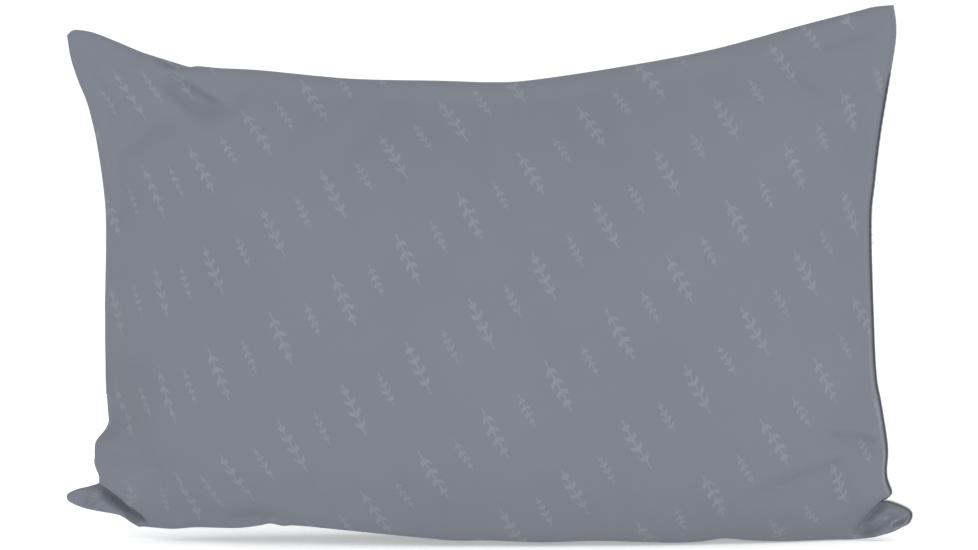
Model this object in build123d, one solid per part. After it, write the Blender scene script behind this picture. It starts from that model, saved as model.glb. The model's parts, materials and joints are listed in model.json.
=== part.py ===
"""Camp pillow: a sewn cloth shell filled with polyester fibre, standing on its long lower edge.

Frame: +X to the right as seen from the front, +Y to the back, +Z up. The origin is the centre of the
footprint on the ground. All sizes are in millimetres.

The shell is two panels, front and back, turned right side out, so that their raw edges lie inside as a
seam allowance. Left, top and bottom are closed from inside with a lockstitch and an overlock. The right
side is the closing seam, overlocked from outside after filling. The fibre has settled, so the lower third
is the thickest and the pillow stands on a flattened strip.
"""

from build123d import *
import math
import os

# Outline of the seam in the XZ plane, from corner to corner. The flat cut size is 610 x 406.
LOWER_LEFT = (-305, 29)
UPPER_LEFT = (-302, 364)
UPPER_RIGHT = (290, 385)
LOWER_RIGHT = (303, 17)
LEFT_EDGE = [LOWER_LEFT, (-284, 58), (-276, 102), (-276, 174), (-279, 246), (-288, 310), UPPER_LEFT]
RIGHT_EDGE = [LOWER_RIGHT, (289, 40), (286, 80), (279, 152), (276, 217), (279, 282), (289, 345), UPPER_RIGHT]
TOP_EDGE = [UPPER_LEFT, (-205, 340), (-7, 329), (151, 350), UPPER_RIGHT]
# The lower edge would sag to this line; the ground flattens what is below z = 0.
BOTTOM_EDGE = [LOWER_LEFT, (-262, 12), (-200, -14), (0, -32), (200, -16), (268, 6), LOWER_RIGHT]

# Filled shape.
HALF_DEPTH = 75           # greatest depth of the outside of one panel from the seam plane
BELLY = 0.38              # height share at which the pillow is thickest
SIDE_FULLNESS = 3.0       # power of the profile from side to side
BOTTOM_FULLNESS = 3.2     # power of the profile from the belly down to the bottom seam
TOP_FULLNESS = 2.2        # power of the profile from the belly to the top seam

# Cloth and seams.
CLOTH = 1.2               # thickness of one panel, along Y
SEAM_ALLOWANCE = 10.0     # turned-in raw edge
ALLOWANCE_CLOTH = 0.9     # thickness of one layer of the turned-in edge
STITCH_INSET = 1.6        # seam stitching, in from the outline
THREAD_RADIUS = 0.30
THREAD_CHANNEL = 0.36     # radius of the needle channel in the two layers
CORD_SIDES = 8
OVERLOCK_RADIUS = 0.9     # overlock over the raw edges
OVERLOCK_GAP = 0.3
CORNER_GAP = 1.5          # each row of stitching stops this short of the next
OVERLOCK_CORNER_GAP = 34.0
STITCHED = ["left", "top", "bottom"]
CLOSING_RADIUS = 1.1      # dark overlock round the right edge
CLOSING_GAP = 0.4
FILL_CLEARANCE = 0.4      # fibre to cloth
FIN_CLEARANCE = 0.6       # fibre to turned-in edge
RAW_EDGE_CLEARANCE = 4.0  # fibre to the overlock inside the slot
GROUND_EASE = 6.0         # softens the bend where a row of stitching meets the ground
OUTSIDE = -4.0            # inset of a line outside the outline

# Care label, caught in the left seam and lying on the back panel.
LABEL_WIDTH = 40.0
LABEL_BOTTOM = 105.0
LABEL_HEIGHT = 60.0
LABEL_CLOTH = 0.4
LABEL_BEAD = 0.9          # radius of the folded edge on the hinge line
LABEL_HINGE = (-277.4, 0)  # hinge line in XY, just outside the left seam
LABEL_REST_ANGLE = 54.0   # from +X towards +Y, just off the back panel

# Sampling of the curved surface.
COLUMNS = 21
ROWS = 19
MARGIN = 0.004            # share by which the sampled surface runs past the seam
PATH_STEPS = 14
FAR = 1000.0              # larger than the pillow, for half spaces

left_curve = Spline([(x, 0, z) for x, z in LEFT_EDGE])
right_curve = Spline([(x, 0, z) for x, z in RIGHT_EDGE])
top_curve = Spline([(x, 0, z) for x, z in TOP_EDGE])
bottom_curve = Spline([(x, 0, z) for x, z in BOTTOM_EDGE])


def seam_plane_point(u, v):
    """The point at share u of the width and v of the height, inside the four edges (a Coons patch)."""
    sides = (left_curve @ v) * (1 - u) + (right_curve @ v) * u
    ends = (bottom_curve @ u) * (1 - v) + (top_curve @ u) * v
    corners = (
        (left_curve @ 0) * (1 - u) * (1 - v)
        + (right_curve @ 0) * u * (1 - v)
        + (left_curve @ 1) * (1 - u) * v
        + (right_curve @ 1) * u * v
    )
    return sides + ends - corners


def depth(u, v):
    """How far the inside of one panel stands off the seam plane at shares u and v, negative past the seam."""
    across = 1 - abs(2 * u - 1) ** SIDE_FULLNESS
    if v < BELLY:
        up = 1 - ((BELLY - v) / BELLY) ** BOTTOM_FULLNESS
    else:
        up = 1 - ((v - BELLY) / (1 - BELLY)) ** TOP_FULLNESS
    return (HALF_DEPTH - CLOTH) * across * up


def eased_share(i, count):
    """Sample i of count, closer together towards both ends and running a little past them."""
    share = (1 - math.cos(math.pi * i / (count - 1))) / 2
    return share * (1 + 2 * MARGIN) - MARGIN


def crowned_face():
    """The inside of the front panel, before the ground flattens it, running a little past the seam."""
    rows = []
    for j in range(ROWS):
        v = eased_share(j, ROWS)
        row = []
        for i in range(COLUMNS):
            u = eased_share(i, COLUMNS)
            p = seam_plane_point(u, v)
            row.append((p.X, -depth(u, v), p.Z))
        rows.append(row)
    return Face.make_surface_from_array_of_points(rows)


def behind(crowned, wall):
    """The solid that starts at the crowned face moved out by a wall thickness and runs far to the back."""
    return extrude(Pos(0, -wall, 0) * crowned, FAR, (0, 1, 0))


def above(z):
    """The half space above height z."""
    return Pos(0, 0, z + FAR / 2) * Box(2 * FAR, 2 * FAR, FAR)


def in_front():
    """The half space y < 0."""
    return Pos(0, -FAR / 2, 0) * Box(2 * FAR, FAR, 2 * FAR)


def inset_outline(inset):
    """The seam outline moved in by inset, as a face in the seam plane, and off the ground by inset."""
    du = inset / (UPPER_RIGHT[0] - UPPER_LEFT[0])
    dv = inset / (UPPER_RIGHT[1] - LOWER_RIGHT[1])
    shares = [i / PATH_STEPS for i in range(PATH_STEPS + 1)]
    along = [du + (1 - 2 * du) * s for s in shares]
    up = [dv + (1 - 2 * dv) * s for s in shares]
    edges = [
        Spline([seam_plane_point(u, dv) for u in along]),
        Spline([seam_plane_point(1 - du, v) for v in up]),
        Spline([seam_plane_point(u, 1 - dv) for u in reversed(along)]),
        Spline([seam_plane_point(du, v) for v in reversed(up)]),
    ]
    return Face(Wire(edges))


def thick_outline(inset, half_thickness):
    """The inset outline as a plate centred on the seam plane, clear of the ground by inset."""
    plate = extrude(inset_outline(inset), half_thickness, (0, 1, 0), both=True)
    return plate & above(inset)


def off_ground(z, lowest):
    """The height z, eased so that it never falls below lowest."""
    return lowest + ((z - lowest) + math.hypot(z - lowest, GROUND_EASE)) / 2


def side_path(side, inset, corner_gap):
    """The line along one side of the outline, moved in by inset and kept off the ground, as a spline."""
    du = inset / (UPPER_RIGHT[0] - UPPER_LEFT[0])
    dv = inset / (UPPER_RIGHT[1] - LOWER_RIGHT[1])
    gap = corner_gap / (UPPER_RIGHT[1] - LOWER_RIGHT[1])
    points = []
    for i in range(PATH_STEPS + 1):
        s = gap + (1 - 2 * gap) * i / PATH_STEPS
        u = du + (1 - 2 * du) * s
        v = dv + (1 - 2 * dv) * s
        u, v = {"left": (du, v), "top": (u, 1 - dv), "bottom": (u, dv)}[side]
        p = seam_plane_point(u, v)
        points.append((p.X, 0, off_ground(p.Z, inset)))
    return Spline(points)


def closing_path():
    """The line of the closing overlock, just outside the right edge."""
    points = []
    for i in range(PATH_STEPS + 1):
        along = right_curve % (i / PATH_STEPS)
        outward = Vector(along.Z, 0, -along.X) * (CLOSING_RADIUS + CLOSING_GAP)
        points.append((right_curve @ (i / PATH_STEPS)) + outward)
    return Spline(points)


def cord(path, radius):
    """An eight-sided cord along a path."""
    return sweep(Plane(origin=path @ 0, z_dir=path % 0) * RegularPolygon(radius, CORD_SIDES), path)


def panel(crowned, channels):
    """One panel: the cloth round the room inside it, its turned-in edge and the needle channels."""
    outside = behind(crowned, CLOTH) & in_front() & thick_outline(0.0, 2 * HALF_DEPTH)
    whole = thick_outline(OUTSIDE, ALLOWANCE_CLOTH)
    turned_in = whole - thick_outline(SEAM_ALLOWANCE, 2 * ALLOWANCE_CLOTH)
    room = behind(crowned, 0) - turned_in - mirror(in_front(), Plane.XZ)
    cloth = outside - (room & above(CLOTH))
    for channel in channels:
        cloth = cloth - channel
    return cloth


def fibre(crowned):
    """The fibre, clear of the cloth and slotted for the turned-in edges and their overlock."""
    front = behind(crowned, -FILL_CLEARANCE) & in_front() & above(CLOTH + FILL_CLEARANCE)
    slot = ALLOWANCE_CLOTH + FIN_CLEARANCE
    slot_depth = SEAM_ALLOWANCE + OVERLOCK_GAP + 2 * OVERLOCK_RADIUS + RAW_EDGE_CLEARANCE
    ring = thick_outline(OUTSIDE, slot) - thick_outline(slot_depth, 2 * slot)
    return front + mirror(front, Plane.XZ) - ring


def care_label():
    """A blank cloth label with a folded edge on the line where the seam holds it."""
    sheet = Pos(LABEL_WIDTH / 2, 0, LABEL_HEIGHT / 2) * Box(LABEL_WIDTH, LABEL_CLOTH, LABEL_HEIGHT)
    folded_edge = Pos(0, 0, LABEL_HEIGHT / 2) * Cylinder(LABEL_BEAD, LABEL_HEIGHT)
    label = Rot(0, 0, LABEL_REST_ANGLE) * (sheet + folded_edge)
    return Pos(*LABEL_HINGE, LABEL_BOTTOM) * label


def build():
    """Every piece of the pillow, by name."""
    crowned = crowned_face()
    channels = [cord(side_path(side, STITCH_INSET, CORNER_GAP), THREAD_CHANNEL) for side in STITCHED]
    front_panel = panel(crowned, channels)
    parts = {
        "front_panel": front_panel,
        "back_panel": mirror(front_panel, Plane.XZ),
        "fibre_fill": fibre(crowned),
        "closing_edge_thread": cord(closing_path(), CLOSING_RADIUS),
        "care_label": care_label(),
    }
    raw_edge = SEAM_ALLOWANCE + OVERLOCK_GAP + OVERLOCK_RADIUS
    overlocks = []
    for side in STITCHED:
        parts[f"{side}_seam_thread"] = cord(side_path(side, STITCH_INSET, CORNER_GAP), THREAD_RADIUS)
        overlocks.append(cord(side_path(side, raw_edge, OVERLOCK_CORNER_GAP), OVERLOCK_RADIUS))
    parts["inner_overlock_thread"] = Compound(overlocks)
    return parts


if __name__ == "__main__":
    os.makedirs("parts", exist_ok=True)
    for name, shape in build().items():
        export_step(shape, f"parts/{name}.step")
        print(name, len(shape.solids()), "solids", round(shape.volume), "mm3")
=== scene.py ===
"""Camp pillow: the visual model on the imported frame.

Two sewn panels of brushed slate-grey cloth over loose fibre, standing on the long lower edge. Shapes are
worked out in millimetres in the frame's axes (+X right, +Y back, +Z up) and turned into metres at the end.
"""

import bpy
import json
import math
import numpy as np
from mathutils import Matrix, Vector


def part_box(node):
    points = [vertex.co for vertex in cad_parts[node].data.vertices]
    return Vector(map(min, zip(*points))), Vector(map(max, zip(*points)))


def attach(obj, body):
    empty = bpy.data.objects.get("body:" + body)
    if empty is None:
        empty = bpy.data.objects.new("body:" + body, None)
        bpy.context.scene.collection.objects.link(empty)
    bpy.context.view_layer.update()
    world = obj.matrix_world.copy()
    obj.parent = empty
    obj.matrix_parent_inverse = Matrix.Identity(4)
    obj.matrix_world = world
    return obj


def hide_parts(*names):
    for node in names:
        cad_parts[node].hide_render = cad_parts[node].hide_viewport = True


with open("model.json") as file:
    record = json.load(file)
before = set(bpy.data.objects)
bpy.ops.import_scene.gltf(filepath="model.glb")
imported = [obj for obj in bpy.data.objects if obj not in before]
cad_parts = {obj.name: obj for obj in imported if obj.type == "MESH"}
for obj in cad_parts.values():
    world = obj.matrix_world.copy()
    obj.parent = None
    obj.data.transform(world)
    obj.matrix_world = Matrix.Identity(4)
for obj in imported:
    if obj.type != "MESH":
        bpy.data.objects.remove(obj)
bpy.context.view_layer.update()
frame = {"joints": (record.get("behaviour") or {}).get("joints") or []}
MM = 0.001

# ---------------------------------------------------------------- outline of the seam, in mm (X, Z)

LEFT = [
    (-305.5, 29.5), (-305, 33), (-298, 36.5), (-288, 39), (-281.5, 42), (-276, 52), (-274, 70), (-276, 98),
    (-277.5, 130), (-277.5, 170), (-276.5, 225), (-278, 252), (-282.5, 284), (-286, 301), (-290, 316),
    (-296.5, 332), (-301.5, 348), (-304, 363.5),
]
TOP = [
    (-304, 363.5), (-301, 366.5), (-296.5, 367.5), (-285, 365.5), (-268, 359), (-250, 351.5), (-228, 344.5),
    (-216, 341), (-210, 341.5), (-193, 340), (-165, 338.5), (-100, 332.5), (-36, 331), (0, 330),
    (30, 331.5), (94, 341), (158, 353), (223, 370.5), (264, 381), (276, 384), (290, 385.4),
]
RIGHT = [
    (290.5, 9), (299, 10), (303.5, 13), (305, 17.5), (303.5, 21), (297, 24.5), (290, 27), (282, 28.5),
    (287.5, 31), (290, 33), (290, 36), (287, 44), (286.5, 52), (287, 68), (282, 100), (279, 116),
    (277, 148), (274.5, 227), (277, 259), (280.5, 290), (285.5, 322), (291, 354), (292, 370), (290, 385.4),
]
BOTTOM = [
    (-305.5, 29.5), (-302.5, 26.5), (-291, 22), (-268, 17.5), (-258, 11.5), (-250, 5), (-235, -6),
    (-200, -18), (-100, -29), (0, -32), (100, -30), (200, -20), (245, -10), (270, 1), (281, 4.5), (290.5, 9),
]

# Where the stuffed belly ends, inside the flattened lower corners: (height, X) at the sides, (X, height)
# at the top and the bottom. All four run past the outline.
BELLY_LEFT = [
    (-40, -225), (0, -247), (14, -258), (22, -264), (30, -272), (40, -280), (46, -283), (56, -284.5),
    (68, -284), (78, -281), (87, -278), (98, -277), (140, -277.5), (205, -277), (237, -277),
    (268, -280.5), (300, -285.5), (316, -290), (332, -296.5), (348, -301.5), (364, -304.5), (400, -310),
]
BELLY_RIGHT = [
    (-40, 235), (0, 262), (14, 276), (26, 283), (40, 289), (73, 288.5), (109, 281), (152, 277), (195, 276),
    (238, 276), (281, 279), (318, 285), (345, 290.5), (368, 292), (400, 292),
]
BELLY_TOP = [(-330, 374), (-299, 367.5), *TOP[3:-1], (310, 388)]
BELLY_BOTTOM = [
    (-330, 40), (-286, 30), (-268, 8), (-254, -4), (-235, -12), (-200, -20), (-100, -29), (0, -32),
    (100, -30), (200, -21), (245, -10), (270, 0), (290, 12), (320, 20),
]

# The underside (X, height): flat on the ground on the right and a little lifted, with a pucker, on the left.
UNDERSIDE = [
    (-330, 3), (-262, 4), (-250, 8.5), (-228, 8.5), (-210, 10.5), (-182, 11), (-164, 13.5), (-156, 15.5),
    (-147, 13.5), (-131, 13.5), (-53, 6), (-27, 3.5), (0, 3.5), (37, 2), (76, 3), (128, 1), (150, 1.5),
    (167, 3.5), (186, 1.5), (212, 0), (252, 0), (330, 0),
]

# The stuffed belly.
HALF_DEPTH = 70.0         # before the cloth run swells it
BELLY_HEIGHT = 0.38       # height share at which the pillow is thickest
SIDE_POWER = 3.0          # powers of the profile from side to side, down from the belly and up from it
LOWER_POWER = 2.6
UPPER_POWER = 2.2
LOW_SIDE_BULGE = 0.68     # powers below 1 fill the profile out: low sides, bottom, top
LOWER_BULGE = 0.68
UPPER_BULGE = 0.78

# Cloth and seams.
FLAT_WIDTH = 610.0
FLAT_HEIGHT = 406.0
FLAP = 3.2                # half thickness of the sewn edge where there is no fill
PINCHED = 0.9             # half thickness of the closing seam
SEAM_ALLOWANCE = 10.0
STITCH_INSET = 1.6
OVERLOCK_INSET = 10.5
NEEDLE_INSET = 2.4
COLUMNS = 340             # grid of one panel
ROWS = 240
LINE_STEPS = 700          # points along a seam line

# The fibre, with lengths in steps of the panel's grid.
FIBRE_RIM = 16            # how far it stays inside the outline
FIBRE_STEP = 4            # step of its own grid
FIBRE_REACH = 9           # how far round a thin place of the pillow it keeps thin
FIBRE_GAP = 5.0           # to the outside of the cloth, in mm

# The cloth run.
COARSE_COLUMNS = 82
COARSE_ROWS = 55
CLOTH_FRAMES = 20
SWELL_LIMIT = 5.0         # how far it may move a point
TUCK = (-225, 334)        # a place in the top edge that it leaves alone

# The care label.
LABEL_HINGE = np.array(next(j for j in frame["joints"] if j["name"] == "care_label_flip")["pos_m"]) / MM
LABEL_LOW, LABEL_HIGH = (np.array(corner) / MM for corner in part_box("care_label"))
LABEL_WIDTH = 40.0
LABEL_ANGLE = 56.0        # from +X at the seam, easing down towards the free edge
LABEL_SLOPE = 1.38        # of the room that it needs beside the seam
LABEL_ROOM_END = -230.0   # X where that room ends


def path_length(p):
    """Length along a path up to each of its points."""
    return np.concatenate([[0], np.cumsum(np.linalg.norm(np.diff(p, axis=0), axis=1))])


def smooth_line(points, shares):
    """Points along a smooth curve through the given ones, at the given shares of its length."""
    p = np.array(points, float)
    p = np.vstack([2 * p[0] - p[1], p, 2 * p[-1] - p[-2]])
    fine = []
    for a, b, c, d in zip(p[:-3], p[1:-2], p[2:-1], p[3:]):
        t = np.linspace(0, 1, 24, endpoint=False)[:, None]
        fine.append(0.5 * (2 * b + (c - a) * t + (2 * a - 5 * b + 4 * c - d) * t**2
                           + (3 * b - a - 3 * c + d) * t**3))
    fine = np.vstack(fine + [p[-2:-1]])
    length = path_length(fine)
    return np.stack([np.interp(shares * length[-1], length, fine[:, k]) for k in range(2)], axis=1)


def table(points):
    """A smooth function through a table of (input, output) pairs."""
    line = smooth_line(points, np.linspace(0, 1, 800))
    order = np.argsort(line[:, 0])
    return lambda t: np.interp(t, line[order, 0], line[order, 1])


belly_left, belly_right = table(BELLY_LEFT), table(BELLY_RIGHT)
belly_top, belly_bottom = table(BELLY_TOP), table(BELLY_BOTTOM)
underside = table(UNDERSIDE)


def ease(low, high, t):
    """0 at low and before it, 1 at high and past it, smooth between; low may be the larger one."""
    s = np.clip((t - low) / (high - low), 0, 1)
    return s * s * (3 - 2 * s)


def bell(t):
    """1 at t = 0, falling to about 0 by t = 2 on both sides."""
    return np.exp(-(t**2))


def close_at_ends(count):
    """Shares from 0 to 1, twice as close together at the ends."""
    t = np.linspace(0, 1, count)
    return (t + (1 - np.cos(np.pi * t)) / 2) / 2


U = close_at_ends(COLUMNS)
V = close_at_ends(ROWS)

# Distances on the flat cloth, in mm, of every grid point.
FROM_LEFT = np.broadcast_to(U * FLAT_WIDTH, (ROWS, COLUMNS))
FROM_RIGHT = FLAT_WIDTH - FROM_LEFT
FROM_BOTTOM = np.broadcast_to((V * FLAT_HEIGHT)[:, None], (ROWS, COLUMNS))
FROM_TOP = FLAT_HEIGHT - FROM_BOTTOM
FROM_TURNED_EDGE = np.minimum(np.minimum(FROM_LEFT, FROM_TOP), FROM_BOTTOM)
FROM_EDGE = np.minimum(FROM_TURNED_EDGE, FROM_RIGHT)


def seam_plane_grid():
    """The X and Z of every grid point in the seam plane: a Coons patch inside the four edges."""
    left, right = smooth_line(LEFT, V), smooth_line(RIGHT, V)
    top, bottom = smooth_line(TOP, U), smooth_line(BOTTOM, U)
    u, v = U[None, :, None], V[:, None, None]
    sides = left[:, None] * (1 - u) + right[:, None] * u
    ends = bottom[None] * (1 - v) + top[None] * v
    corners = (left[0] * (1 - u) * (1 - v) + right[0] * u * (1 - v) + left[-1] * (1 - u) * v
               + right[-1] * u * v)
    return np.moveaxis(sides + ends - corners, -1, 0)


def falling(t, power):
    """1 at t = 0 and 0 at t = 1, steeper towards 1 the higher the power."""
    return 1 - np.clip(t, 0, 1) ** power


def belly(x, z):
    """Depth of the stuffed body at (x, z), as a share of the full depth."""
    low, high = belly_left(z), belly_right(z)
    across = falling(np.abs(2 * (x - low) / (high - low) - 1), SIDE_POWER)
    low, high = belly_bottom(x), belly_top(x)
    v = np.clip((z - low) / (high - low), 0, 1)
    lower = falling((BELLY_HEIGHT - v) / BELLY_HEIGHT, LOWER_POWER)
    upper = falling((v - BELLY_HEIGHT) / (1 - BELLY_HEIGHT), UPPER_POWER)
    side_bulge = LOW_SIDE_BULGE + (1 - LOW_SIDE_BULGE) * ease(90, 260, z)
    return across**side_bulge * lower**LOWER_BULGE * upper**UPPER_BULGE


# ---------------------------------------------------------------- folds of the front panel


def line_distance(x, z, points):
    """Distance from a curve, its side (1 left, -1 right) and the share of its length at the nearest place."""
    p = smooth_line(points, np.linspace(0, 1, 20))
    step = np.diff(p, axis=0)
    length = np.linalg.norm(step, axis=1)
    start = np.cumsum(length) - length
    dx, dz = x[..., None] - p[:-1, 0], z[..., None] - p[:-1, 1]
    along = np.clip((dx * step[:, 0] + dz * step[:, 1]) / length**2, 0, 1)
    dx, dz = dx - along * step[:, 0], dz - along * step[:, 1]
    d = np.hypot(dx, dz)
    nearest = d.argmin(axis=-1)[..., None]
    side = np.take_along_axis(np.sign(step[:, 0] * dz - step[:, 1] * dx), nearest, -1)
    best = np.take_along_axis(d, nearest, -1)
    # The share is blended over the nearest pieces, so that it runs smoothly inside a bend.
    near = np.exp((best - d) / 2.5)
    share = (near * (start + along * length)).sum(-1) / near.sum(-1) / length.sum()
    return best[..., 0], side[..., 0], share


def faded(share, fade):
    """1 along a line, easing to 0 over the given shares of it at its start and at its end."""
    return ease(0, fade[0], share) * ease(0, fade[1], 1 - share)


def crease(x, z, line, width, depth, fade, shoulder):
    """Depth change of a fold: a valley along a line, with a lower ridge on each side."""
    d, _, share = line_distance(x, z, line)
    return depth * faded(share, fade) * (shoulder * bell(d / width - 2.1) - bell(d / width))


def lap(x, z, line, raised, sunk, reach, softness, fade):
    """Depth change of a lap: cloth raised on the right of a line and sunk on its left."""
    d, side, share = line_distance(x, z, line)
    left = (1 + np.tanh(side * d / softness)) / 2
    up = raised * (1 - left) * np.exp(-d / reach[0])
    down = sunk * left * np.exp(-d / reach[1])
    return faded(share, fade) * (up - down)


CREASES = [
    # The dent beside the left seam, and two short wrinkles that run out of it.
    dict(line=[(-274, 150), (-270, 125), (-267, 104), (-262, 84), (-255, 64)],
         width=13.0, depth=8.0, fade=(0.4, 0.3), shoulder=0.2),
    dict(line=[(-268, 82), (-260, 77), (-248, 70)], width=4.0, depth=1.8, fade=(0.35, 0.6), shoulder=0.3),
    dict(line=[(-270, 140), (-240, 128), (-214, 108)], width=12.0, depth=1.6, fade=(0.3, 0.5), shoulder=0.3),
    # The lower right corner.
    dict(line=[(292, 20), (285, 15), (277, 9), (264, 6)],
         width=2.6, depth=3.0, fade=(0.15, 0.3), shoulder=0.4),
    dict(line=[(301, 16.2), (296, 13.4), (290.5, 11)],
         width=1.3, depth=3.4, fade=(0.12, 0.12), shoulder=0.5),
    # The pucker above the underside.
    dict(line=[(-192, 14), (-178, 19), (-160, 21), (-140, 20)],
         width=5.5, depth=4.0, fade=(0.3, 0.5), shoulder=0.35),
    dict(line=[(-156, 10), (-156, 20), (-150, 34)], width=4.0, depth=-2.2, fade=(0.1, 0.7), shoulder=0.2),
    # The lower left corner.
    dict(line=[(-285, 34), (-287.5, 29), (-290.5, 22)], width=2.8, depth=3.2, fade=(0.5, 0.02), shoulder=0.3),
    dict(line=[(-281, 25), (-275, 21.5), (-267, 17.5)], width=2.2, depth=2.8, fade=(0.4, 0.05), shoulder=0.3),
]
LAPS = [
    # The tuck in the top edge, the ridge that runs down from it and the hollow beside that ridge.
    dict(line=[(-249, 353), (-243, 349), (-237, 343), (-231, 339), (-224, 338), (-215, 341)],
         raised=5.5, sunk=6.0, reach=(14, 3.2), softness=0.7, fade=(0.2, 0.4)),
    dict(line=[(-248, 338), (-236, 327), (-222, 315), (-208, 306), (-191, 299), (-173, 295)],
         raised=5.5, sunk=2.5, reach=(16, 16), softness=6.5, fade=(0.22, 0.6)),
    dict(line=[(-172, 308), (-190, 314), (-206, 321), (-220, 330), (-231, 337)],
         raised=3.0, sunk=9.0, reach=(14, 15), softness=5.5, fade=(0.5, 0.2)),
    # Two folds above the lower right corner.
    dict(line=[(284, 71), (272, 75), (262, 77.5), (245, 80), (220, 84)],
         raised=4.6, sunk=10.0, reach=(20, 16), softness=4.8, fade=(0.2, 0.5)),
    dict(line=[(260, 66), (247, 63), (235, 58.5), (212, 52), (195, 45), (168, 32)],
         raised=4.8, sunk=10.5, reach=(24, 18), softness=5.0, fade=(0.2, 0.5)),
    # The broad sag above the lower left corner.
    dict(line=[(-208, 62), (-234, 69), (-258, 78), (-282, 90)],
         raised=4.5, sunk=6.5, reach=(26, 28), softness=13.0, fade=(0.5, 0.1)),
]

# Lines where the stuffed body hangs over a flat lower corner, from the outline inwards. The body is on the
# left (1) or on the right (-1) of its line.
LEFT_HANG = dict(
    line=[(-289, 46), (-282.5, 42), (-278.5, 40), (-269, 33.5), (-261.5, 26.5), (-253.5, 20.5), (-249, 15.5),
          (-246, 9)],
    body_side=1, lobe=15.0, trench_width=8.0)
RIGHT_HANG = dict(line=[(292, 33), (282, 28.8), (275, 22), (268.5, 14), (264, 7)],
                  body_side=-1, lobe=10.0, trench_width=8.5)
HANG_RADIUS = 11.0        # over which the body rounds off towards the line
HANG_REACH = 55.0         # farthest from the line that anything changes
LOBE_REACH = 26.0
TRENCH_FLOOR = 0.7        # half thickness of the flap right under the body


def hang(x, z, h, flap, line, body_side, lobe, trench_width):
    """The stuffed body, made fuller by a lobe, hanging over a corner flap of a given half thickness.

    Returns the new depth and the share by which a point of the body leans out over the flap.
    """
    d, side, share = line_distance(x, z, line)
    strength = 1 - ease(0.8, 1.0, share)
    rounded = np.sqrt(falling(1 - np.clip(d / HANG_RADIUS, 0, 1), 2))
    fuller = h + lobe * (1 - ease(0.35, 1.0, share)) * bell(d / LOBE_REACH)
    body = fuller * (1 - strength * (1 - rounded))
    trench = TRENCH_FLOOR + flap * (1 - bell(d / trench_width))
    trench = trench * strength + h * (1 - strength)
    on_body = side * body_side > 0
    lean = strength * bell((d - 3.0) / 3.0) * on_body
    return np.where(d > HANG_REACH, h, np.where(on_body, body, trench)), lean


def seam_puckers(seed):
    """Small waves in the cloth beside the turned seams, in mm."""
    left = np.sin(FROM_BOTTOM / 5.1 + seed) * np.sin(FROM_BOTTOM / 17.0 + 2 * seed)
    top = np.sin(FROM_LEFT / 5.7 + 3 * seed) * np.sin(FROM_LEFT / 23.0 + seed)
    return 0.6 * (left * np.exp(-FROM_LEFT / 8) + top * np.exp(-FROM_TOP / 8))


# ---------------------------------------------------------------- panels


def plain_depth(x, z):
    """Depth of a panel without folds: the belly, and the sewn edge where there is no fill."""
    h = HALF_DEPTH * belly(x, z)
    return h + FLAP * (1 - np.exp(-FROM_TURNED_EDGE / 3.0)) * np.exp(-h / 12)


def folded_depth(x, z):
    """Depth of the front panel with its folds, and how far it leans out over its two lower corners."""
    h, lean_left = hang(x, z, plain_depth(x, z), 4 + 9 * ease(-300, -268, x), **LEFT_HANG)
    h, lean_right = hang(x, z, h, 4 + 6 * ease(304, 280, x), **RIGHT_HANG)
    for fold in LAPS:
        h = h + lap(x, z, **fold)
    for fold in CREASES:
        h = h + crease(x, z, **fold)
    return h, lean_left, lean_right


def pinched(h):
    """Depths with a least value, the closing seam pinched flat under its overlock, and the edges closed."""
    h = np.maximum(h, 0.6 + 0.8 * ease(2, 6, FROM_TURNED_EDGE))
    h = np.minimum(h, PINCHED + (h - PINCHED) * ease(1.2, 7.0, FROM_RIGHT))
    return h * np.clip(FROM_EDGE / 2.0, 0, 1) ** 0.5


def overhang(x, z, h):
    """Share by which the belly hangs over the seam on the lower left."""
    return ease(38, 60, z) * (1 - ease(70, 90, z)) * bell((h - 14) / 11) * ease(0, 4, h) * ease(-240, -262, x)


def settled(x, z, softness=4.0):
    """Heights with everything below the underside pressed onto it."""
    over = z - underside(x)
    return np.maximum(underside(x) + (over + np.hypot(over, softness)) / 2 - softness * 0.06, 0.0)


def front_points():
    """The (ROWS, COLUMNS, 3) outside surface of the front panel, in mm."""
    x, z = seam_plane_grid()
    h, lean_left, lean_right = folded_depth(x, z)
    h = pinched(h + seam_puckers(1.0))
    off_edge = ease(0, 3, FROM_EDGE)
    x = x - 10.5 * overhang(x, z, h) + off_edge * (0.8 * lean_right - 1.3 * lean_left)
    z = z - off_edge * (0.8 * lean_right + 1.6 * lean_left)
    return np.stack([x, -h, settled(x, z)], axis=-1)


def back_points():
    """The same for the back panel, which has no folds and bulges behind the notch on the lower right."""
    x, z = seam_plane_grid()
    h = pinched(plain_depth(x, z) + seam_puckers(4.0))
    x = x - 6.3 * overhang(x, z, h)
    x = x + 5 * bell((z - 29) / 4) * bell((h - 6) / 5) * ease(262, 278, x) * ease(0, 3, FROM_EDGE)
    return np.stack([x, h, settled(x, z)], axis=-1)


def plain_points():
    """A back panel without folds or seams, from which positions on the flat cloth are measured."""
    x, z = seam_plane_grid()
    return np.stack([x, HALF_DEPTH * belly(x, z), z], axis=-1)


# ---------------------------------------------------------------- the cloth run


def spline_weights(at, count):
    """Cubic B-spline weights that spread count values, evenly spaced from 0 to 1, to the shares given."""
    position = at * (count - 1)
    low = np.clip(np.floor(position).astype(int), 0, count - 2)
    t = position - low
    weights = np.zeros((len(at), count))
    pieces = ((1 - t) ** 3, 4 - 6 * t**2 + 3 * t**3, 1 + 3 * t + 3 * t**2 - 3 * t**3, t**3)
    for offset, piece in zip((-1, 0, 1, 2), pieces):
        np.add.at(weights, (np.arange(len(at)), np.clip(low + offset, 0, count - 1)), piece / 6)
    return weights


def quads(index):
    """The quads of a grid of vertex numbers."""
    return np.stack([index[:-1, :-1], index[:-1, 1:], index[1:, 1:], index[1:, :-1]], axis=-1).reshape(-1, 4)


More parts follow.
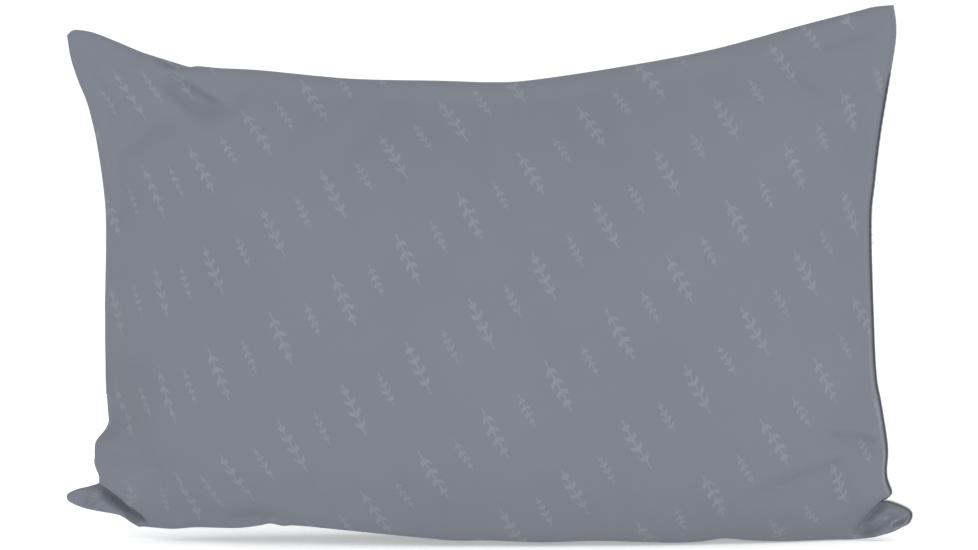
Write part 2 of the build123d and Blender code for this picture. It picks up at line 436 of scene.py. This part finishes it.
def grid_faces(rows, columns, flip):
    """The quads of a grid of points, turned over if flip is set."""
    faces = quads(np.arange(rows * columns).reshape(rows, columns))
    return faces[:, ::-1] if flip else faces


def linked(name, data):
    """A new object in the scene, of a mesh, light or camera."""
    obj = bpy.data.objects.new(name, data)
    bpy.context.scene.collection.objects.link(obj)
    return obj


def closed_pad(front, back):
    """One closed mesh of two coarse panels that share their seam, with the seam and the ground held."""
    rows, columns = front.shape[:2]
    index = np.arange(rows * columns).reshape(rows, columns)
    seam = np.ones((rows, columns), bool)
    seam[1:-1, 1:-1] = False
    other = np.where(seam, index, index + rows * columns)
    vertices = np.vstack([front.reshape(-1, 3), back.reshape(-1, 3)])
    mesh = bpy.data.meshes.new("pad")
    mesh.from_pydata((vertices * MM).tolist(), [], quads(index).tolist() + quads(other)[:, ::-1].tolist())
    pad = linked("pad", mesh)
    grounded = vertices[:, 2] < underside(vertices[:, 0]) + 3.0
    held = pad.vertex_groups.new(name="held")
    held.add(np.where(np.tile(seam.ravel(), 2) | grounded)[0].tolist(), 1.0, "REPLACE")
    return pad, vertices


def run_cloth(pad):
    """The pad's vertices in mm after a short run of pressed, slightly roomy cloth."""
    cloth = pad.modifiers.new("cloth", "CLOTH")
    cloth.settings.quality = 5
    cloth.settings.vertex_group_mass = "held"
    cloth.settings.use_pressure = True
    cloth.settings.uniform_pressure_force = 4.0
    cloth.settings.shrink_min = -0.02
    cloth.settings.effector_weights.gravity = 0.0
    cloth.collision_settings.use_collision = False
    scene = bpy.context.scene
    for number in range(1, CLOTH_FRAMES + 1):
        scene.frame_set(number)
    evaluated = pad.evaluated_get(bpy.context.evaluated_depsgraph_get())
    moved = np.empty(len(pad.data.vertices) * 3)
    evaluated.data.vertices.foreach_get("co", moved)
    bpy.data.objects.remove(pad)
    scene.frame_set(1)
    return moved.reshape(-1, 3) / MM


def coarse_swelling(front, back):
    """How far the cloth run moves a coarse grid of points of each panel, kept under the limit."""
    coarse = np.ix_(np.searchsorted(V, np.linspace(0, 1, COARSE_ROWS)),
                    np.searchsorted(U, np.linspace(0, 1, COARSE_COLUMNS)))
    pad, start = closed_pad(front[coarse], back[coarse])
    moved = run_cloth(pad) - start
    length = np.linalg.norm(moved, axis=1)[:, None] + 1e-9
    moved *= np.tanh(length / SWELL_LIMIT) * SWELL_LIMIT / length
    return moved.reshape(2, COARSE_ROWS, COARSE_COLUMNS, 3)


def free_to_swell(points):
    """Share by which each point follows the cloth run: 0 at seams, underside, top tuck and lower corners."""
    x, z = points[..., 0], points[..., 2]
    from_tuck = np.hypot(x - TUCK[0], z - TUCK[1])
    free = ease(2, 16, FROM_EDGE) * ease(0, 30, z - underside(x)) * ease(10, 45, from_tuck)
    free = free * (1 - ease(70, 30, z) * ease(-225, -245, x))
    return free * (1 - ease(60, 30, z) * ease(240, 260, x))


def swollen(front, back):
    """Both panels after the cloth run."""
    down, across = spline_weights(V, COARSE_ROWS), spline_weights(U, COARSE_COLUMNS)
    result = []
    for points, coarse in zip((front, back), coarse_swelling(front, back)):
        shift = np.einsum("rc,cmk,nm->rnk", down, coarse, across)
        result.append(points + shift * free_to_swell(points)[..., None])
    return result


def clear_of_label(points):
    """A panel kept out of the room beside the left seam through which the care label swings."""
    x, y, z = points[..., 0], points[..., 1], points[..., 2]
    over = np.abs(y) - (LABEL_SLOPE * (x - LABEL_HINGE[0]) - 0.3)
    low, high = LABEL_LOW[2], LABEL_HIGH[2]
    near = ease(low - 17, low - 2, z) * (1 - ease(high + 2, high + 17, z)) * (x < LABEL_ROOM_END)
    y = np.sign(y) * np.maximum(np.abs(y) - near * (over + np.hypot(over, 1.0)) / 2, 0)
    return np.stack([x, y, z], axis=-1)


# ---------------------------------------------------------------- cloth pieces


def surface_shares(points, axis):
    """Share of the surface length up to each grid point, along one direction of the grid."""
    step = np.linalg.norm(np.diff(points, axis=axis), axis=2)
    total = np.cumsum(step, axis=axis)
    total = np.concatenate([np.zeros_like(np.take(total, [0], axis=axis)), total], axis=axis)
    return total / np.take(total, [-1], axis=axis)


def flat_position(points):
    """Where each grid point lies on the flat panel, in metres, from lengths measured over the surface."""
    across, up = surface_shares(points, 1), surface_shares(points, 0)
    return np.stack([(across - 0.5) * FLAT_WIDTH * MM, up * FLAT_HEIGHT * MM], axis=-1)


def add_object(name, vertices, faces):
    """A smooth-shaded object from vertices in mm."""
    mesh = bpy.data.meshes.new(name)
    mesh.from_pydata((np.asarray(vertices, float) * MM).tolist(), [], faces)
    mesh.shade_smooth()
    return linked(name, mesh)


def joined(parts):
    """Vertices and faces of several parts as one."""
    vertices, faces, start = [], [], 0
    for v, f in parts:
        vertices.append(v)
        faces += [tuple(i + start for i in face) for face in f]
        start += len(v)
    return np.vstack(vertices), faces


def cloth_object(name, sheets, flip):
    """A piece of several sheets, each a grid of points and its flat cloth positions, kept as UV "cloth"."""
    vertices, faces, cloth = [], [], []
    for points, positions in sheets:
        start = sum(len(v) for v in vertices)
        faces.append(grid_faces(*points.shape[:2], flip) + start)
        vertices.append(points.reshape(-1, 3))
        cloth.append(positions.reshape(-1, 2))
    faces = np.vstack(faces)
    obj = add_object(name, np.vstack(vertices), faces.tolist())
    layer = obj.data.uv_layers.new(name="cloth")
    layer.data.foreach_set("uv", np.vstack(cloth)[faces.reshape(-1)].astype(np.float32).ravel())
    return obj


def turned_in(positions, sign):
    """The turned-in seam allowance of a panel: strips just behind its left, top and bottom edges."""
    x, z = seam_plane_grid()
    z = np.maximum(settled(x, z), underside(x) + 1.2)
    inner = np.stack([x, np.full(x.shape, 0.4 * sign), z], axis=-1)
    columns = np.searchsorted(U * FLAT_WIDTH, SEAM_ALLOWANCE)
    rows = np.searchsorted(V * FLAT_HEIGHT, SEAM_ALLOWANCE)
    blocks = [np.s_[2:-2, 1:columns], np.s_[1:rows, 2:-2], np.s_[-rows:-1, 2:-2]]
    return [(inner[block], positions[block]) for block in blocks]


def panel_object(name, points, sign):
    """One panel with its turned-in seam allowance."""
    positions = flat_position(plain_points())
    return cloth_object(name, [(points, positions), *turned_in(positions, sign)], sign > 0)


def label_object():
    """The care label: a soft blank tape caught in the seam, curling towards the back panel."""
    rows, columns = 25, 19
    s, t = np.meshgrid(np.linspace(0, 1, rows), np.linspace(0, 1, columns), indexing="ij")
    angle = np.radians(LABEL_ANGLE - 4 * t - 1.5 * np.sin(s * 5) * t)
    step = LABEL_WIDTH / (columns - 1)
    start = np.zeros((rows, 1))
    x = LABEL_HINGE[0] + np.concatenate([start, np.cumsum(np.cos(angle[:, 1:]) * step, axis=1)], axis=1)
    y = LABEL_HINGE[1] + np.concatenate([start, np.cumsum(np.sin(angle[:, 1:]) * step, axis=1)], axis=1)
    y = y + t * np.sin(s * np.pi * 2.2 + 0.6)
    z = LABEL_LOW[2] + (LABEL_HIGH[2] - LABEL_LOW[2]) * s - 0.8 * t**2
    points = np.stack([x, y, z], axis=-1)
    obj = cloth_object("care_label_tape", [(points, flat_position(points))], True)
    thick = obj.modifiers.new("thickness", "SOLIDIFY")
    thick.thickness = 0.35 * MM
    thick.offset = 0
    return obj


# ---------------------------------------------------------------- fibre


def noise_field(x, z, seed):
    """A repeatable soft noise over the plane, about -1 to 1."""
    waves = 14
    pick = np.random.RandomState(seed)
    total = np.zeros_like(x)
    for _ in range(waves):
        wavelength = 18.0 * 3.9 ** pick.rand()
        angle, phase = pick.rand(2) * 2 * np.pi
        total += np.sin((x * np.cos(angle) + z * np.sin(angle)) * 2 * np.pi / wavelength + phase)
    return total / math.sqrt(waves)


def thinnest(depth, reach):
    """The least depth within reach grid steps of each point."""
    for axis in (0, 1):
        depth = np.min([np.roll(depth, k, axis) for k in range(-reach, reach + 1)], axis=0)
    return depth


def fibre_parts(front, back):
    """The loose fibre: a lumpy mass a little inside the two panels, closed round its rim."""
    inside = (np.s_[FIBRE_RIM:-FIBRE_RIM:FIBRE_STEP],) * 2
    parts = []
    for points, sign in ((front, -1), (back, 1)):
        p = points[inside].copy()
        lump = 1.2 * noise_field(p[..., 0], p[..., 2], seed=5 + sign)
        depth = thinnest(np.abs(points[..., 1]), FIBRE_REACH)[inside] - FIBRE_GAP + lump
        depth = np.maximum(depth, 0.0)
        depth[[0, -1]] = 0
        depth[:, [0, -1]] = 0
        p[..., 1] = sign * depth
        p[..., 2] = np.maximum(p[..., 2], underside(p[..., 0]) + 3.0)
        parts.append((p.reshape(-1, 3), grid_faces(*p.shape[:2], sign > 0).tolist()))
    return joined(parts)


# ---------------------------------------------------------------- seams


def tube(path, radius, sides):
    """Vertices and faces of a round strand along a path; radius is one number or one per point."""
    p = np.asarray(path, float)
    forward = np.gradient(p, axis=0)
    forward /= np.linalg.norm(forward, axis=1)[:, None] + 1e-12
    helper = np.where(np.abs(forward[:, 1:2]) > 0.9, [[1.0, 0, 0]], [[0, 1.0, 0]])
    side = np.cross(forward, helper)
    side /= np.linalg.norm(side, axis=1)[:, None]
    up = np.cross(side, forward)
    angle = np.linspace(0, 2 * np.pi, sides, endpoint=False)
    ring = side[:, None] * np.cos(angle)[None, :, None] + up[:, None] * np.sin(angle)[None, :, None]
    vertices = p[:, None] + ring * np.broadcast_to(radius, len(p))[:, None, None]
    faces = []
    for i in range(len(p) - 1):
        for k in range(sides):
            m = (k + 1) % sides
            faces.append((i * sides + k, i * sides + m, (i + 1) * sides + m, (i + 1) * sides + k))
    faces.append(tuple(range(sides))[::-1])
    faces.append(tuple((len(p) - 1) * sides + k for k in range(sides)))
    return vertices.reshape(-1, 3), faces


def at_lengths(path, at):
    """The points of a 3D path at the given lengths along it."""
    run = path_length(path)
    return np.stack([np.interp(at, run, path[:, k]) for k in range(3)], axis=1)


def outline_with_inward(points, trim):
    """A line of the outline without a share at both ends, and its inward normals, as (X, Z)."""
    line = smooth_line(points, np.linspace(trim, 1 - trim, LINE_STEPS))
    step = np.gradient(line, axis=0)
    normal = np.stack([-step[:, 1], step[:, 0]], axis=1) / np.linalg.norm(step, axis=1)[:, None]
    middle = np.array([0, 170.0])
    return line, normal * np.sign(((middle - line) * normal).sum(1).mean())


def inset_line(points, inset, trim):
    """A line of the outline moved inward by inset, in the seam plane and clear of the underside."""
    line, inward = outline_with_inward(points, trim)
    x, z = (line + inward * inset).T
    z = np.maximum(settled(x, z), underside(x) + inset + 1.0)
    return np.stack([x, 0 * x, z], axis=1)


def wrapped(path, pitch, out, across, radius, sides, per_turn):
    """A strand wound round a path, like an overlock round a cloth edge; out and across may vary along it."""
    length = path_length(path)
    at = np.linspace(0, length[-1], int(length[-1] / pitch * per_turn))
    centre = at_lengths(path, at)
    forward = np.gradient(centre, axis=0)
    forward /= np.linalg.norm(forward, axis=1)[:, None]
    sideways = np.cross(forward, [0, 1.0, 0])
    turn = 2 * np.pi * at / pitch
    wobble = 1 + 0.25 * np.sin(at * 1.7) * np.sin(at * 0.61 + 1.3)
    out = np.interp(at, length, np.broadcast_to(out, len(path))) * wobble
    strand = centre + sideways * (np.cos(turn) * out)[:, None]
    strand[:, 1] += np.sin(turn) * wobble * np.interp(at, length, np.broadcast_to(across, len(path)))
    return tube(strand, radius, sides)


def stitches(path, length, gap, radius):
    """Separate lockstitches along a path."""
    parts = []
    for start in np.arange(0, path_length(path)[-1] - length, length + gap):
        stitch = at_lengths(path, np.linspace(start, start + length, 5))
        parts.append(tube(stitch, np.array([0.5, 1, 1, 1, 0.5]) * radius, 5))
    return joined(parts)


def place(obj, node, material, body="pillow"):
    """Rides a piece on its body in place of a CAD node, with its material."""
    obj.data.materials.append(material)
    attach(obj, body)
    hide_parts(node)


def closing_overlock():
    """The overlock round the right edge, thinner and set back where the front cloth covers it at the top."""
    line, inward = outline_with_inward(RIGHT, 0.0)
    covered = ease(0.855, 0.905, np.linspace(0, 1, LINE_STEPS))
    path = np.stack([line[:, 0] + 0.7 * inward[:, 0], 1.1 * covered, line[:, 1] + 0.3], axis=1)
    short_of_corner = np.s_[:-6]
    path, covered = path[short_of_corner], covered[short_of_corner]
    return wrapped(path, pitch=1.45, out=1.05 - 0.45 * covered, across=1.35 - 0.5 * covered,
                   radius=0.37, sides=6, per_turn=12)


def place_closing_seam(front, back, overlock_and_painted_shade, needle):
    """The overlock round the right edge, and its two needle lines on the panels. The overlock's near-black
    colour is painted shade: it stands for the shadow along the seam's edge as well as for the thread.
    """
    overlock = add_object("closing_edge_overlock_painted_shade", *closing_overlock())
    place(overlock, "closing_edge_thread", overlock_and_painted_shade)
    column = -1 - np.searchsorted(U * FLAT_WIDTH, NEEDLE_INSET)
    lines = [stitches(p[2:-2, column] + [0, 0.12 * sign, 0], length=2.6, gap=0.5, radius=0.26)
             for p, sign in ((front, -1), (back, 1))]
    needle_lines = add_object("closing_needle_lines", *joined(lines))
    place(needle_lines, "closing_edge_thread", needle)


def place_hidden_seams(thread):
    """The lockstitches of the three inner seams and the overlock of their raw edges."""
    loops = []
    for side, line in (("left", LEFT), ("top", TOP), ("bottom", BOTTOM)):
        row = stitches(inset_line(line, STITCH_INSET, trim=0.01), length=2.4, gap=0.5, radius=0.28)
        place(add_object(f"{side}_seam_stitches", *row), f"{side}_seam_thread", thread)
        raw_edge = inset_line(line, OVERLOCK_INSET, trim=0.07)
        loops.append(wrapped(raw_edge, pitch=3.0, out=1.6, across=0.9, radius=0.3, sides=4, per_turn=8))
    overlock = add_object("inner_overlock_loops", *joined(loops))
    place(overlock, "inner_overlock_thread", thread)


# ---------------------------------------------------------------- materials


class Nodes:
    """Short helpers for building a node tree."""

    def __init__(self, name):
        self.material = bpy.data.materials.new(name)
        self.material.use_nodes = True
        self.tree = self.material.node_tree
        self.shader = self.tree.nodes["Principled BSDF"]

    def value(self, socket, given):
        """Links or sets one input."""
        if isinstance(given, bpy.types.NodeSocket):
            self.tree.links.new(given, socket)
        else:
            socket.default_value = given

    def node(self, kind, inputs=None, **settings):
        """A new node with its settings and inputs."""
        made = self.tree.nodes.new(kind)
        for key, setting in settings.items():
            setattr(made, key, setting)
        for key, given in (inputs or {}).items():
            self.value(made.inputs[key], given)
        return made

    def math(self, operation, *given, clamp=False):
        """The output of a math node."""
        made = self.node("ShaderNodeMath", operation=operation, use_clamp=clamp)
        for socket, item in zip(made.inputs, given):
            self.value(socket, item)
        return made.outputs[0]

    def mix(self, factor, first, second):
        """The output of a colour mix."""
        made = self.node("ShaderNodeMix", data_type="RGBA")
        for socket, given in zip((0, 6, 7), (factor, first, second)):
            self.value(made.inputs[socket], given)
        return made.outputs[2]

    def noise(self, vector, scale, detail=2.0, roughness=0.5):
        """The value of a noise texture."""
        inputs = {"Vector": vector, "Scale": scale, "Detail": detail, "Roughness": roughness}
        return self.node("ShaderNodeTexNoise", inputs).outputs["Fac"]

    def waves(self, vector, scale, distortion, detail):
        """The value of a wave texture."""
        inputs = {"Vector": vector, "Scale": scale, "Distortion": distortion, "Detail": detail}
        return self.node("ShaderNodeTexWave", inputs).outputs["Fac"]

    def bump(self, height, distance, strength=1.0, normal=None):
        """A bump node's normal."""
        inputs = {"Height": height, "Distance": distance, "Strength": strength}
        if normal:
            inputs["Normal"] = normal
        return self.node("ShaderNodeBump", inputs).outputs["Normal"]

    def object_position(self):
        """The position on the piece, in metres."""
        return self.node("ShaderNodeTexCoord").outputs["Object"]

    def cloth_position(self):
        """The position on the flat cloth, in metres, and its two parts."""
        uv = self.node("ShaderNodeUVMap", uv_map="cloth").outputs["UV"]
        split = self.node("ShaderNodeSeparateXYZ", {"Vector": uv})
        return uv, split.outputs["X"], split.outputs["Y"]

    def finish(self, colour, roughness, normal, sheen):
        """Sets the surface and returns the material."""
        inputs = {"Base Color": colour, "Roughness": roughness, "Normal": normal, "Sheen Weight": sheen,
                  "Sheen Roughness": 0.45, "Specular IOR Level": 0.25}
        for key, given in inputs.items():
            self.value(self.shader.inputs[key], given)
        return self.material


# The cloth and its print: rows of small leaf sprigs on a slanted lattice, every second row upside down.
# Sizes are in mm.
SLATE = (0.1355, 0.149, 0.1755)
PRINTED = (0.176, 0.192, 0.22)
WEAVE_PITCH = 0.62
ROW_STEP = np.array([-44.6, -31.5])
LINE_STEP = np.array([54.0, -43.0])
SPRIG_AXIS = np.array([0.47, -0.883])
LARGE_SPRIG = (41.0, 9.6, 5.0)     # length, width, pairs of leaves
SMALL_SPRIG = (26.0, 6.4, 5.0)


def dot(n, x, y, weights):
    """The dot product of (x, y) with fixed weights."""
    return n.math("ADD", n.math("MULTIPLY", x, float(weights[0])), n.math("MULTIPLY", y, float(weights[1])))


def shade(colour, factor):
    """A colour made lighter or darker, with alpha."""
    return tuple(min(1.0, c * factor) for c in colour) + (1,)


def sprig(n, along, across, size):
    """A mask of one leaf sprig: pairs of slanted leaves on a stem, inside a pointed outline."""
    length, width, pairs = size
    s = n.math("DIVIDE", along, length)
    t = n.math("DIVIDE", n.math("ABSOLUTE", across), width / 2)
    limit = n.math("ADD", n.math("POWER", n.math("ABSOLUTE", n.math("MULTIPLY", s, 2.0)), 2.4), t)
    inside = n.math("MULTIPLY", n.math("SUBTRACT", 1.0, limit), 9.0, clamp=True)
    slant = n.math("ADD", n.math("MULTIPLY", s, pairs), n.math("MULTIPLY", t, 0.38))
    wave = n.math("ABSOLUTE", n.math("SUBTRACT", n.math("FRACT", slant), 0.5))
    leaves = n.math("MULTIPLY", n.math("SUBTRACT", 0.24, wave), 12.0, clamp=True)
    stem = n.math("MULTIPLY", n.math("SUBTRACT", 0.15, t), 14.0, clamp=True)
    return n.math("MULTIPLY", inside, n.math("MAXIMUM", leaves, stem))


def sprig_print(n, x, y):
    """The mask of the whole print at cloth position (x, y) in mm."""
    inverse = np.linalg.inv(np.stack([ROW_STEP, LINE_STEP], axis=1))
    i, j = dot(n, x, y, inverse[0]), dot(n, x, y, inverse[1])
    line = n.math("ROUND", j)
    over = n.math("SUBTRACT", j, line)
    flip = n.math("SUBTRACT", 1.0, n.math("MULTIPLY", n.math("FLOORED_MODULO", line, 2.0), 2.0))
    side_axis = np.array([-SPRIG_AXIS[1], SPRIG_AXIS[0]])
    masks = []
    for size, shift in ((LARGE_SPRIG, 0.0), (SMALL_SPRIG, 0.5)):
        shifted = n.math("SUBTRACT", i, shift)
        rest = n.math("SUBTRACT", shifted, n.math("ROUND", shifted))
        along = dot(n, rest, over, (ROW_STEP @ SPRIG_AXIS, LINE_STEP @ SPRIG_AXIS))
        across = dot(n, rest, over, (ROW_STEP @ side_axis, LINE_STEP @ side_axis))
        masks.append(sprig(n, n.math("MULTIPLY", along, flip), across, size))
    return n.math("MAXIMUM", *masks)


def plain_weave(n, x, y):
    """The height of a plain weave at cloth position (x, y) in mm, from -1 to 1."""
    rate = 2 * math.pi / WEAVE_PITCH
    return n.math("MULTIPLY", *(n.math("SINE", n.math("MULTIPLY", axis, rate)) for axis in (x, y)))


def from_anchor(n, part, anchor):
    """One part of the cloth position in mm from the anchor."""
    return n.math("MULTIPLY", n.math("SUBTRACT", part, float(anchor)), 1000.0)


def brushed_cloth(name, anchor):
    """Brushed polyester: a fine plain weave under a short nap, a worn tone-on-tone print and mottling."""
    n = Nodes(name)
    uv, u, v = n.cloth_position()
    x, y = from_anchor(n, u, anchor[0]), from_anchor(n, v, anchor[1])
    mottle = n.noise(uv, scale=9.0, detail=3.0)
    nap = n.noise(uv, scale=900.0, detail=3.0, roughness=0.65)
    fleck = n.noise(uv, scale=2600.0, detail=2.0, roughness=0.7)
    grain = n.math("ADD", n.math("MULTIPLY", nap, 0.6), n.math("MULTIPLY", fleck, 0.4))
    lint = n.math("MULTIPLY", n.math("SUBTRACT", grain, 0.35), 0.9, clamp=True)
    base = n.mix(mottle, shade(SLATE, 0.94), shade(SLATE, 1.06))
    base = n.mix(lint, base, shade(SLATE, 1.16))
    mask = sprig_print(n, x, y)
    patchy = n.math("MULTIPLY", n.noise(uv, scale=160.0), 0.9)
    wear = n.math("ADD", patchy, n.math("MULTIPLY", nap, 0.6), clamp=True)
    base = n.mix(n.math("MULTIPLY", mask, wear), base, shade(PRINTED, 1.0))
    height = n.math("ADD", n.math("MULTIPLY", plain_weave(n, x, y), 0.25), nap)
    normal = n.bump(height, distance=0.00016, strength=0.5)
    normal = n.bump(mottle, distance=0.0012, strength=0.25, normal=normal)
    roughness = n.math("SUBTRACT", 0.93, n.math("MULTIPLY", mask, 0.12))
    return n.finish(base, roughness, normal, sheen=0.15)


def thread_material(name, colour):
    """Twisted polyester thread."""
    n = Nodes(name)
    position = n.object_position()
    twist = n.waves(position, scale=900.0, distortion=3.0, detail=2.0)
    fuzz = n.noise(position, scale=1800.0, detail=3.0)
    base = n.mix(twist, shade(colour, 0.75), shade(colour, 1.35))
    normal = n.bump(n.math("ADD", twist, fuzz), distance=0.0001, strength=0.6)
    return n.finish(base, 0.8, normal, sheen=0.15)


def fibre_material():
    """Loose white polyester fibre."""
    n = Nodes("loose_fibre")
    position = n.object_position()
    strands = n.waves(position, scale=120.0, distortion=14.0, detail=4.0)
    tufts = n.noise(position, scale=60.0, detail=4.0, roughness=0.6)
    base = n.mix(tufts, (0.78, 0.78, 0.76, 1), (0.93, 0.93, 0.92, 1))
    height = n.math("ADD", strands, n.math("MULTIPLY", tufts, 2.0))
    return n.finish(base, 0.95, n.bump(height, distance=0.002, strength=0.7), sheen=0.3)


def label_material():
    """Blank woven satin tape."""
    n = Nodes("label_tape")
    uv, _, v = n.cloth_position()
    ribs = n.math("SINE", n.math("MULTIPLY", v, 2 * math.pi / 0.0045))
    slubs = n.noise(uv, scale=300.0, detail=3.0)
    base = n.mix(slubs, (0.74, 0.74, 0.72, 1), (0.86, 0.86, 0.84, 1))
    normal = n.bump(n.math("ADD", ribs, slubs), distance=0.0001, strength=0.6)
    return n.finish(base, 0.6, normal, sheen=0.1)


def cloth_point(x, z):
    """The flat cloth position of the place on a panel that lies at (x, z) in mm."""
    points = plain_points()
    nearest = np.argmin(np.hypot(points[..., 0] - x, points[..., 2] - z))
    return flat_position(points).reshape(-1, 2)[nearest]


# ---------------------------------------------------------------- stage, light and camera

CAMERA_DISTANCE = 2.3     # metres from here on
CAMERA_LIFT = 0.075
AIM = Vector((-0.0007, 0, 0.191))
SEEN_WIDTH = 0.7042       # width of the picture at the seam plane
SENSOR_WIDTH = 36


def build_floor():
    """A plain pale floor, faintly lit from inside like a light table."""
    mesh = bpy.data.meshes.new("floor")
    mesh.from_pydata([(-9, -9, 0), (9, -9, 0), (9, 9, 0), (-9, 9, 0)], [], [(0, 1, 2, 3)])
    floor = linked("floor", mesh)
    floor.location.z = -0.0005
    n = Nodes("floor")
    inputs = {"Base Color": (0.96, 0.96, 0.96, 1), "Roughness": 0.9, "Emission Color": (1, 1, 1, 1),
              "Emission Strength": 0.35}
    for key, given in inputs.items():
        n.value(n.shader.inputs[key], given)
    mesh.materials.append(n.material)


def build_world():
    """White to the camera, and a softer white to the object."""
    to_object, to_camera = 0.83, 1.05
    world = bpy.data.worlds.new("studio")
    world.use_nodes = True
    tree = world.node_tree
    seen = tree.nodes.new("ShaderNodeLightPath").outputs["Is Camera Ray"]
    strength = tree.nodes.new("ShaderNodeMath")
    strength.operation = "MULTIPLY_ADD"
    tree.links.new(seen, strength.inputs[0])
    strength.inputs[1].default_value = to_camera - to_object
    strength.inputs[2].default_value = to_object
    background = tree.nodes["Background"]
    background.inputs["Color"].default_value = (1, 1, 1, 1)
    tree.links.new(strength.outputs[0], background.inputs["Strength"])
    bpy.context.scene.world = world


def build_key():
    """One broad soft light from the front and above."""
    light = bpy.data.lights.new("key", "SUN")
    light.energy = 1.6
    light.angle = math.radians(45)
    linked("key", light).rotation_euler = Vector((-0.13, 1.0, -0.36)).to_track_quat("-Z", "Y").to_euler()


def build_camera():
    """The viewing angle: from the front, a little above."""
    data = bpy.data.cameras.new("camera")
    data.sensor_width = SENSOR_WIDTH
    data.lens = SENSOR_WIDTH * CAMERA_DISTANCE / SEEN_WIDTH
    camera = linked("camera", data)
    camera.location = AIM + Vector((0, -CAMERA_DISTANCE, CAMERA_LIFT))
    camera.rotation_euler = (AIM - camera.location).to_track_quat("-Z", "Y").to_euler()
    bpy.context.scene.camera = camera


# ---------------------------------------------------------------- the whole pillow


def panel_surfaces():
    """The outside surfaces of the front and the back panel."""
    panels = [front_points(), back_points()]
    panels = swollen(*panels)
    return [clear_of_label(points) for points in panels]


def build_pillow():
    """Every piece of the pillow."""
    front, back = panel_surfaces()
    face = brushed_cloth("face_cloth", cloth_point(-7, 160))
    reverse = brushed_cloth("back_cloth", cloth_point(20, 150))
    place(panel_object("front_panel_cloth", front, -1), "front_panel", face)
    place(panel_object("back_panel_cloth", back, 1), "back_panel", reverse)
    place(add_object("fibre_filling", *fibre_parts(front, back)), "fibre_fill", fibre_material())
    place_hidden_seams(thread_material("seam_thread_grey", (0.19, 0.21, 0.25)))
    # The closing overlock is a real thread, but its near-black colour is painted shade standing for the
    # shadow along the right edge's seam.
    place_closing_seam(front, back, thread_material("closing_thread_painted_shade", (0.03, 0.034, 0.045)),
                       thread_material("closing_thread_needle", (0.17, 0.18, 0.2)))
    place(label_object(), "care_label", label_material(), body="label")


build_pillow()
build_floor()
build_world()
build_key()
build_camera()
bpy.context.scene.view_settings.view_transform = "Standard"
